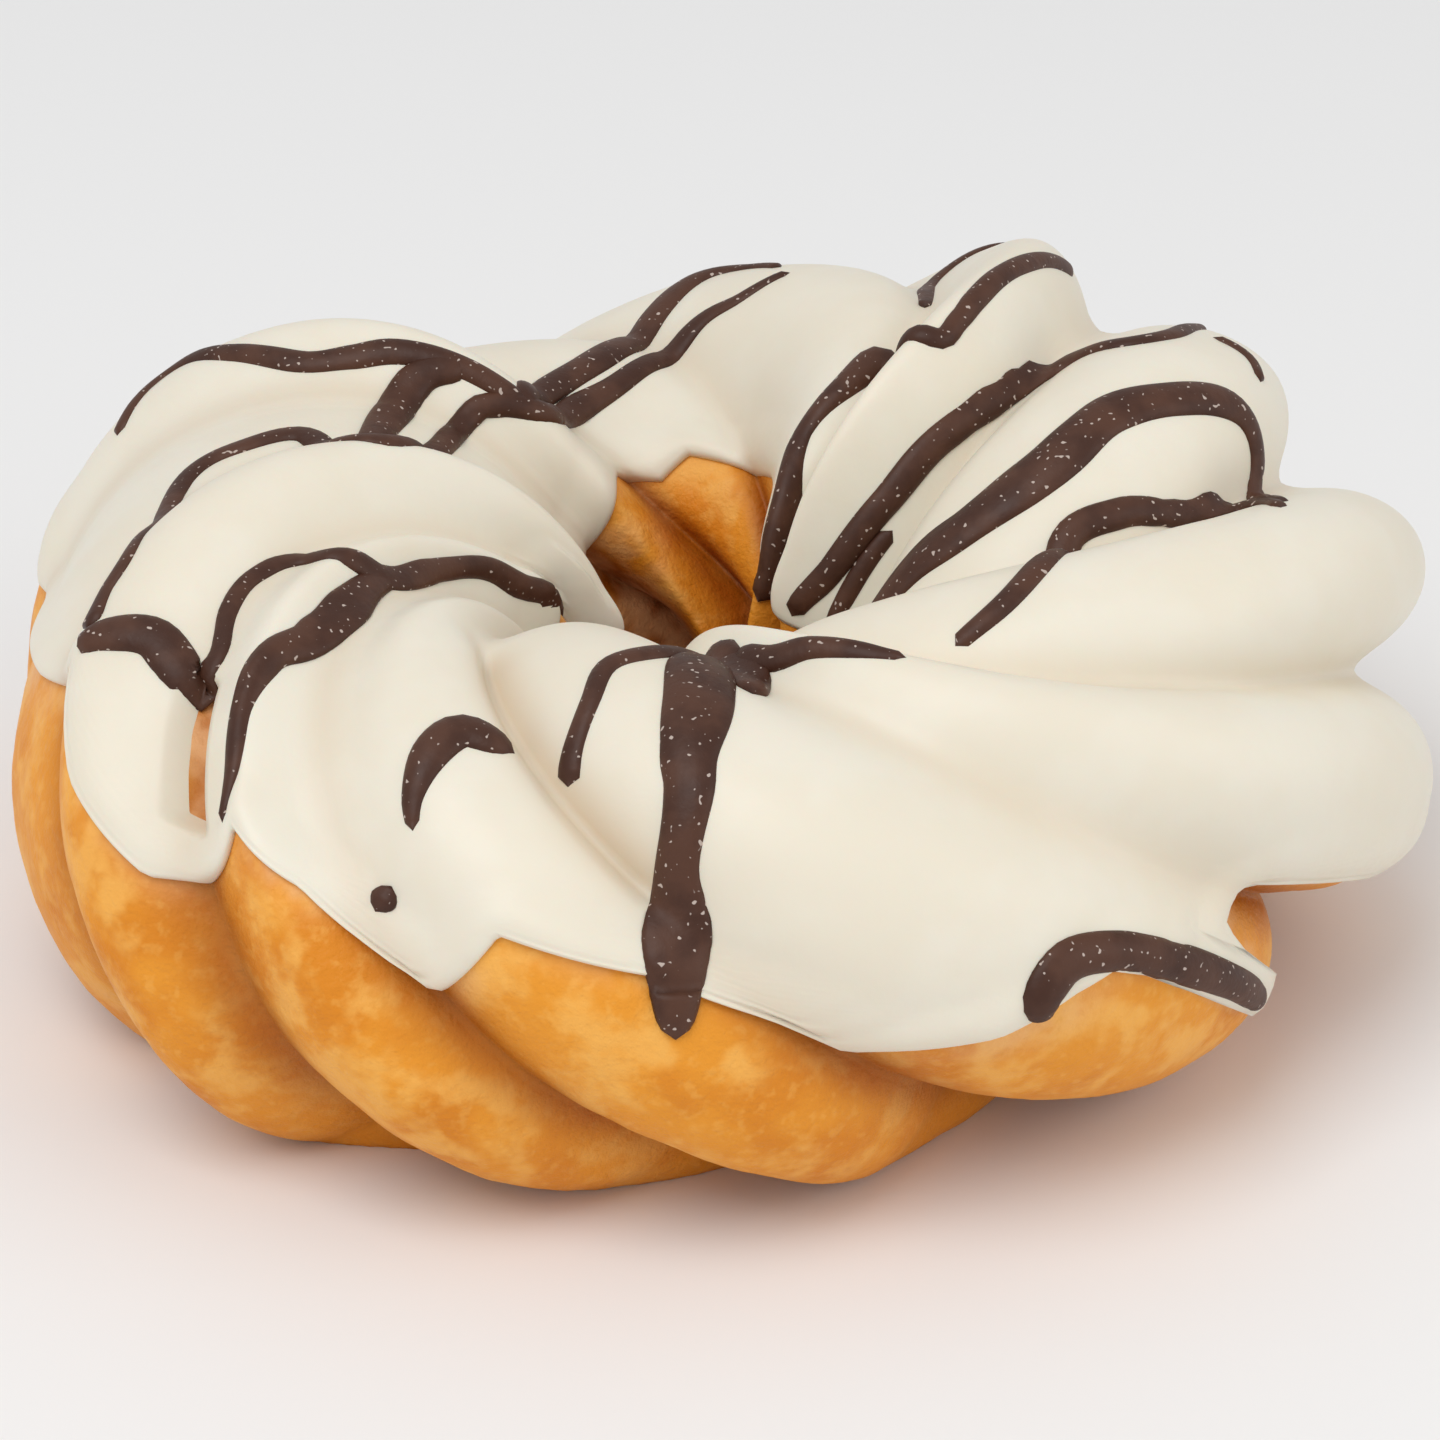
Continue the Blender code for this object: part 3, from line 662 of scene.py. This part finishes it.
# Painted shade over the icing's grooves and fold
icing_shade = painted_icing_shade(icing_place, icing_angle)
icing_slit = slit_share(icing_place, icing_angle)
icing_over = icing_cover(edge_distance(icing_place, icing_angle), icing_slit)
icing_lift = -ICING_UNDER - DOUGH_DIP * icing_over - (SLIT_DEPTH + SLIT_LOW_DROP) * icing_slit
icing_low = surface_points(icing_place, icing_angle, icing_lift)[:, ::LOW_STEP]
icing_top = surface_points(icing_place, icing_angle, icing_height)
icing_count = icing_height.size
icing_index = np.arange(icing_count).reshape(icing_height.shape)
icing_low_index = icing_count + np.arange(icing_low[..., 0].size).reshape(icing_low.shape[:2])
icing_index = np.vstack([icing_index, icing_index[:1]])
icing_low_index = np.vstack([icing_low_index, icing_low_index[:1]])
icing_quads = np.concatenate([
    grid_quads(icing_index).reshape(-1, 4),
    grid_quads(icing_low_index[:, ::-1]).reshape(-1, 4),
    grid_quads(np.stack([icing_low_index[:, 0], icing_index[:, 0]], axis=1)).reshape(-1, 4),
    grid_quads(np.stack([icing_index[:, -1], icing_low_index[:, -1]], axis=1)).reshape(-1, 4),
])
icing_points = np.concatenate([icing_top.reshape(-1, 3), icing_low.reshape(-1, 3)])
# The painted shade, none on the icing's underside
icing_masks = {"groove_shade": np.concatenate([icing_shade.ravel(), np.zeros(icing_low[..., 0].size)])}
icing = mesh_object("vanilla_icing_skin", icing_points, icing_quads.tolist(), icing_masks)
icing.data.materials.append(icing_finish())
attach(icing, "root")
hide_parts("vanilla_icing")


# The chocolate drizzle. Thin streams of melted dark chocolate are thrown over the set icing from
# a spoon, so they run over the ridges in long crossing lines, thick where they slowed down, and
# set as low round-backed strips stuck to the icing, some with a drop at the end.

# Points worked out between two waypoints, step along a stroke, fewest steps, points across
PATH_POINTS = 24
DRIZZLE_STEP = 0.6 * MM
LEAST_STEPS = 6
DRIZZLE_SIDES = 11
BRIDGE_REACH = 4
# A stroke of the usual width has this height, and others more or less of it within limits
DRIZZLE_HEIGHT = 0.55 * MM
USUAL_WIDTH = 1.9 * MM
LEAST_HEIGHT = 0.75
MOST_HEIGHT = 1.35
# At a stroke's end: the least share of its width and height
END_WIDTH = 0.06
END_HEIGHT = 0.25
# The sides waver by a share of the width, over a distance along the stroke
WAVER_SHARE = 0.10
WAVER_SIZE = 3.5 * MM
# How far the back's sides and the flat side are sunk, and the flat side's share of the width
BACK_SINK = 0.10 * MM
SOLE_SINK = 0.35 * MM
SOLE_SHARE = 0.6
# Degrees over which the slope of the icing under a stroke is taken
SLOPE_REACH = 0.4
# Each stroke: ring angle, rope angle and width in mm of the points it runs through
DRIZZLE = (
    ((157, 36, 1.3), (151, 41, 1.7), (149, 48, 1.8), (150, 61, 1.9), (150, 75, 2.0),
     (147, 84, 2.2), (143, 91, 2.3), (138, 101, 2.1), (133, 111, 1.9), (129, 118, 1.6)),
    ((205, 46, 1.9), (202, 51, 1.8), (197, 59, 1.8), (178, 64, 1.9), (172, 75, 2.0),
     (169, 86, 2.1), (178, 97, 2.1), (179, 106, 2.2), (160, 111, 2.0), (141, 111, 1.9),
     (135, 114, 2.0), (127, 120, 2.1), (120, 123, 2.0)),
    ((172, 100, 2.0), (155, 98, 2.8), (144, 98, 2.8), (136, 105, 2.2)),
    ((130, 119, 2.0), (116, 107, 2.4), (103, 94, 2.9), (94, 72, 2.9), (88, 63, 2.4),
     (83, 66, 1.4), (79, 73, 0.9)),
    ((123, 123, 2.1), (111, 114, 2.4), (101, 106, 2.3), (90, 88, 1.9), (83, 86, 1.4), (77, 80, 1.0)),
    ((206, 43, 2.1), (208, 49, 2.8), (211, 54, 3.1), (214, 54, 3.1), (217, 53, 2.6),
     (217, 57, 1.6), (216, 62, 1.4), (212, 69, 1.3), (209, 77, 1.4), (208, 87, 1.6),
     (213, 96, 1.9), (214, 107, 2.0), (208, 121, 1.9), (201, 134, 1.9), (195, 147, 1.8),
     (178, 158, 1.5)),
    ((230, 33, 0.8), (228, 44, 1.4), (225, 55, 1.8), (223, 65, 2.5), (223, 76, 3.0),
     (221, 87, 3.0), (217, 97, 2.3), (213, 107, 1.6)),
    ((246, 43, 0.9), (245, 50, 1.7), (245, 60, 2.7), (246.5, 67, 3.0), (250, 67, 2.3), (252, 66, 0.8)),
    ((244.1, 25, 1.5), (244.5, 28, 2.1), (244.9, 31, 1.5)),
    ((258, 60, 1.9), (258, 67, 1.6), (259, 77, 1.6), (260, 86, 1.7), (265, 92, 1.9),
     (270, 99, 2.1), (275, 107, 2.2)),
    ((276, 112, 3.0), (272, 92, 4.6), (271, 74, 4.8), (270, 62, 3.8), (270, 55, 3.2),
     (269, 42, 3.0), (269, 34, 3.9), (269, 25, 4.4), (269, 16, 4.0), (269, 10, 2.9), (269, 5, 1.3)),
    ((274, 106, 2.4), (278, 94, 3.1), (277.5, 81, 2.2)),
    ((277, 104, 2.4), (282, 96, 2.2), (287, 92, 2.1), (292, 86, 1.8), (296, 80, 0.9)),
    ((33, 168, 2.8), (34, 160, 2.4), (40, 148, 2.1), (49, 136, 2.0), (48, 122, 2.2),
     (47, 112, 2.7), (38, 114, 2.3), (26, 111, 1.8), (28, 105, 1.7), (31, 100, 1.8),
     (35, 92, 1.8), (39, 80, 1.7), (42, 67, 1.5)),
    ((54, 88, 1.0), (59, 75, 1.4), (60, 66, 1.5), (57, 57, 1.4), (52, 49, 1.0)),
    ((358, 168, 1.5), (0, 157, 2.0), (6, 140, 2.2), (14, 121, 2.3), (22, 98, 2.3),
     (23, 88, 2.1), (17, 81, 1.9), (18, 73, 1.8), (23, 64, 1.6), (27, 56, 1.2)),
    ((353, 168, 1.1), (358, 156, 1.5), (3, 143, 1.3)),
    ((322, 152, 2.0), (332, 136, 3.2), (338, 121, 3.8), (347, 105, 3.9), (357, 92, 3.7),
     (2, 79, 3.2), (5, 68, 2.7), (5, 60, 2.1), (3, 55, 1.8), (358, 56, 1.7), (352, 58, 1.3)),
    ((20, 62, 1.0), (17, 57, 1.3), (13, 57, 1.1)),
    ((306, 88, 1.3), (315, 89, 1.8), (327, 94, 2.2), (338, 100, 2.3), (345, 90, 2.2),
     (350, 77, 2.1), (355, 66, 2.0), (355, 60, 1.7), (349, 59, 1.2)),
    ((297, 1, 2.3), (297, 6, 2.9), (299, 11, 2.9), (302, 11, 2.8), (306, 7, 2.7),
     (311, -1, 2.6), (317, -13, 2.5), (322, -25, 1.8)),
)


def icing_points_at(ring_angle, rope_angle):
    """Points on the icing's face by ring angle and rope angle."""
    place = ridge_place_of(ring_angle, rope_angle)
    return surface_points(place, rope_angle, icing_heights(place, rope_angle))


def evened(heights):
    """Heights along a stream, never lower than their own bell mean along it, because the thick
    stream bridges an edge that it runs over."""
    offsets = np.arange(-BRIDGE_REACH, BRIDGE_REACH + 1)
    weights = np.exp(-0.5 * (2.0 * offsets / BRIDGE_REACH) ** 2)
    weights = weights / weights.sum()
    padded = np.pad(heights, ((BRIDGE_REACH, BRIDGE_REACH), (0, 0)), mode="edge")
    count = len(heights)
    mean = sum(w * padded[k:k + count] for k, w in enumerate(weights))
    return np.maximum(heights, mean)


def smooth_path(waypoints):
    """A Catmull-Rom curve through the waypoints, resampled to even steps over the icing. From
    b to c it is (2b + (c - a)t + (2a - 5b + 4c - d)t^2 + (3b - a - 3c + d)t^3) / 2."""
    knots = np.array(waypoints, float)
    knots[:, 0] = np.degrees(np.unwrap(np.radians(knots[:, 0])))
    padded = np.vstack([2 * knots[0] - knots[1], knots, 2 * knots[-1] - knots[-2]])
    t = np.linspace(0.0, 1.0, PATH_POINTS, endpoint=False)[:, None]
    pieces = []
    for a, b, c, d in zip(padded, padded[1:], padded[2:], padded[3:]):
        square, cube = 2 * a - 5 * b + 4 * c - d, 3 * b - a - 3 * c + d
        pieces.append(0.5 * (2 * b + (c - a) * t + square * t ** 2 + cube * t ** 3))
    path = np.vstack(pieces + [knots[-1:]])
    points = icing_points_at(path[:, 0], path[:, 1])
    run = np.concatenate([[0.0], np.cumsum(np.linalg.norm(np.diff(points, axis=0), axis=1))])
    even = np.linspace(0.0, run[-1], max(LEAST_STEPS, int(run[-1] / DRIZZLE_STEP)) + 1)
    return np.stack([np.interp(even, run, path[:, k]) for k in range(3)], axis=1), even


def drizzle_stroke(waypoints, seed):
    """One closed strip. Its back is a half oval, width * cos(a) across and height * sin(a) up,
    laid over the icing along the path; its flat side is sunk a little into the icing."""
    path, run = smooth_path(waypoints)
    u, v = path[:, 0], path[:, 1]
    centre = icing_points_at(u, v)
    reach = SLOPE_REACH
    along_u = (icing_points_at(u + reach, v) - icing_points_at(u - reach, v)) / (2 * reach)
    along_v = (icing_points_at(u, v + reach) - icing_points_at(u, v - reach)) / (2 * reach)
    normal = np.cross(along_u, along_v)
    normal = normal / np.linalg.norm(normal, axis=1, keepdims=True)
    ahead = np.gradient(centre, axis=0)
    side = np.cross(ahead, normal)
    side = side / np.linalg.norm(side, axis=1, keepdims=True)
    uu = np.sum(along_u * along_u, axis=1)
    vv = np.sum(along_v * along_v, axis=1)
    uv = np.sum(along_u * along_v, axis=1)
    su = np.sum(side * along_u, axis=1)
    sv = np.sum(side * along_v, axis=1)
    det = uu * vv - uv * uv
    step_u = (su * vv - sv * uv) / det
    step_v = (sv * uu - su * uv) / det
    width = path[:, 2] * MM
    half = 0.5 * width * (1.0 + WAVER_SHARE * lumps(centre, WAVER_SIZE, seed))
    end = np.minimum(run, run[-1] - run) / (0.5 * width)
    round_end = np.sqrt(1.0 - (1.0 - np.clip(end, 0.0, 1.0)) ** 2)
    half = half * np.maximum(round_end, END_WIDTH)
    height = DRIZZLE_HEIGHT * np.clip(width / USUAL_WIDTH, LEAST_HEIGHT, MOST_HEIGHT)
    height = height * np.maximum(round_end, END_HEIGHT)
    angle = np.linspace(0.0, np.pi, DRIZZLE_SIDES)
    across = half[:, None] * np.cos(angle)[None, :]
    raised = height[:, None] * np.sin(angle)[None, :] - BACK_SINK
    wide_u = u[:, None] + step_u[:, None] * across
    wide_v = v[:, None] + step_v[:, None] * across
    place = ridge_place_of(wide_u, wide_v)
    base = surface_points(place, wide_v, evened(icing_heights(place, wide_v)))
    back = base + normal[:, None, :] * raised[..., None]
    sole = SOLE_SHARE * base[:, [-1, 0]] + (1.0 - SOLE_SHARE) * centre[:, None, :]
    sole = sole - SOLE_SINK * normal[:, None, :]
    return np.concatenate([back, sole], axis=1)


def drizzle_mesh():
    """All strokes as closed tubes in one set of points and faces, ends closed with a fan."""
    points, faces, count = [], [], 0
    for seed, waypoints in enumerate(DRIZZLE):
        rings = drizzle_stroke(waypoints, float(seed))
        steps, sides = rings.shape[:2]
        index = count + np.arange(steps * sides).reshape(steps, sides)
        index = np.hstack([index, index[:, :1]])
        faces += grid_quads(index).reshape(-1, 4).tolist()
        first = np.full(sides, count + steps * sides)
        faces += np.column_stack([index[0, 1:], index[0, :-1], first]).tolist()
        faces += np.column_stack([index[-1, :-1], index[-1, 1:], first + 1]).tolist()
        points += [rings.reshape(-1, 3), rings[[0, -1]].mean(axis=1)]
        count = count + steps * sides + 2
    return np.concatenate(points), faces


CHOCOLATE_DARK = (0.050, 0.016, 0.0075, 1.0)
CHOCOLATE_MILKY = (0.084, 0.032, 0.017, 1.0)
# Painted glints: tiny bright highlights put into the colour
CHOCOLATE_GLINT = (0.60, 0.50, 0.44, 1.0)
# Grains a metre of its clouds, painted bright glints, sheen and pores, and the relief
BLOOM_GRAINS = 260.0
GLINT_GRAINS, GLINT_SHARE = 2800.0, 0.8
CHOCOLATE_ROUGHNESS, CHOCOLATE_ROUGHER, CHOCOLATE_SHEEN_GRAINS = 0.40, 0.20, 800.0
CHOCOLATE_PORE_GRAINS = 1800.0
CHOCOLATE_RELIEF = 0.08 * MM


def chocolate_finish():
    """Dark chocolate: semi-gloss, faintly clouded, with tiny painted glints in its colour."""
    finish = Finish("dark chocolate", IOR=1.38)
    clouds = finish.step(finish.grain(BLOOM_GRAINS, 3.0), 0.35, 0.65)
    colour = finish.mix(clouds, CHOCOLATE_DARK, CHOCOLATE_MILKY)
    # Painted glints: tiny bright highlights in the colour
    glints = finish.step(finish.grain(GLINT_GRAINS, 0.0), 0.75, 0.81)
    colour = finish.mix(glints * GLINT_SHARE, colour, CHOCOLATE_GLINT)
    finish.feed("Base Color", colour)
    sheen = finish.grain(CHOCOLATE_SHEEN_GRAINS, 2.0)
    finish.feed("Roughness", CHOCOLATE_ROUGHNESS + CHOCOLATE_ROUGHER * sheen)
    pores = finish.grain(CHOCOLATE_PORE_GRAINS, 2.0)
    finish.feed("Normal", finish.bump(pores, CHOCOLATE_RELIEF, 0.5))
    return finish.material


drizzle_points, drizzle_faces = drizzle_mesh()
drizzle = mesh_object("chocolate_drizzle", drizzle_points, drizzle_faces, {})
drizzle.data.materials.append(chocolate_finish())
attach(drizzle, "root")


# The table top that the ring stands on, a plain pale sheet, and the soft light of a studio: a
# bright even surround, a wide lamp overhead in front and a weaker one from the right.

FLOOR_SIZE = 3.0
FLOOR_PALE = (0.86, 0.86, 0.86, 1.0)
SURROUND_WHITE = (1.0, 1.0, 1.0, 1.0)
SURROUND_STRENGTH = 0.62
LAMP_AIM = (0.0, 0.0, 0.02)
# Each lamp: its name, place in metres, size in metres and power in watts
LAMPS = (
    ("overhead lamp", (-0.25, -0.35, 0.75), 0.55, 3.2),
    ("side lamp", (0.65, -0.25, 0.35), 0.5, 1.0),
)

floor_corners = np.array([[-1, -1, 0], [1, -1, 0], [1, 1, 0], [-1, 1, 0]], float) * FLOOR_SIZE
floor = mesh_object("pale_floor", floor_corners, [[0, 1, 2, 3]], {})
floor.data.materials.append(Finish("pale floor", Base_Color=FLOOR_PALE, Roughness=0.7).material)

world = bpy.data.worlds.new("studio surround")
world.use_nodes = True
world.node_tree.nodes["Background"].inputs["Color"].default_value = SURROUND_WHITE
world.node_tree.nodes["Background"].inputs["Strength"].default_value = SURROUND_STRENGTH
bpy.context.scene.world = world
bpy.context.scene.view_settings.view_transform = "Standard"


def soft_lamp(name, place, size, power):
    """A square lamp at a place, turned to aim at the ring."""
    lamp = bpy.data.lights.new(name, "AREA")
    lamp.size = size
    lamp.energy = power
    made = bpy.data.objects.new(name, lamp)
    made.location = place
    away = np.array(place) - np.array(LAMP_AIM)
    flat = np.hypot(away[0], away[1])
    made.rotation_euler = (np.arctan2(flat, away[2]), 0.0, np.arctan2(away[0], -away[1]))
    bpy.context.scene.collection.objects.link(made)


for lamp_name, lamp_place, lamp_size, lamp_power in LAMPS:
    soft_lamp(lamp_name, lamp_place, lamp_size, lamp_power)


# The camera: in front of the ring and above it, as in the photograph, with a long lens.

CAMERA_DISTANCE = 0.350
CAMERA_TILT = 27.7
CAMERA_SENSOR = 36.0
CAMERA_LENS = 122.5
CAMERA_SHIFT = (0.0215, -0.0153)
CAMERA_CLIP = (0.01, 20.0)
LOOK_AT = (HOLE_MIDDLE[0], HOLE_MIDDLE[1], -REST_LEVEL)

camera_data = bpy.data.cameras.new("camera")
camera_data.sensor_width = CAMERA_SENSOR
camera_data.lens = CAMERA_LENS
camera_data.shift_x, camera_data.shift_y = CAMERA_SHIFT
camera_data.clip_start, camera_data.clip_end = CAMERA_CLIP
camera = bpy.data.objects.new("camera", camera_data)
camera.location = (
    LOOK_AT[0],
    LOOK_AT[1] - CAMERA_DISTANCE * np.cos(np.radians(CAMERA_TILT)),
    LOOK_AT[2] + CAMERA_DISTANCE * np.sin(np.radians(CAMERA_TILT)),
)
camera.rotation_euler = (np.radians(90.0 - CAMERA_TILT), 0.0, 0.0)
bpy.context.scene.collection.objects.link(camera)
bpy.context.scene.camera = camera
